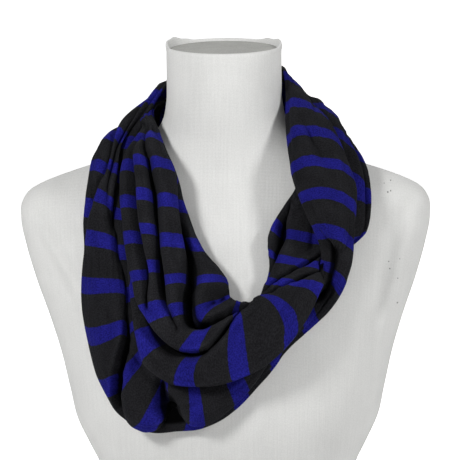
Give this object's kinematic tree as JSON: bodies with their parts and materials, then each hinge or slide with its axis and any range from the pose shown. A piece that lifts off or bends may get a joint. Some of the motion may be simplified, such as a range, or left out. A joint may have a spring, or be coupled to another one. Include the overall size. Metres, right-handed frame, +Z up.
{
  "type": "infinity scarf on a dress form",
  "caption": "Striped jersey loop scarf wound double round the neck of a limbless cloth-covered dress form, resting on its flat base.",
  "frame": {"origin": "centre of the dress form's flat base", "axes": "+Z up; -Y towards the front of the form; +X towards the right of a viewer who faces it"},
  "size_m": [0.408, 0.2507, 0.5199],
  "materials": {
    "striped_jersey": "matt charcoal jersey with royal blue stripes",
    "form_cover": "matt white fine-ribbed knit",
    "neck_cap": "matt grey board"
  },
  "bodies": {
    "root": {"form_body": "form_cover", "form_neck_cap": "neck_cap", "form_cover_rim": "form_cover", "scarf_nape_upper": "striped_jersey", "scarf_right_over": "striped_jersey", "scarf_front_sweep": "striped_jersey", "scarf_left_under": "striped_jersey", "scarf_nape_lower": "striped_jersey", "scarf_right_under": "striped_jersey", "scarf_front_band": "striped_jersey", "scarf_left_over": "striped_jersey"}
  },
  "joints": []
}
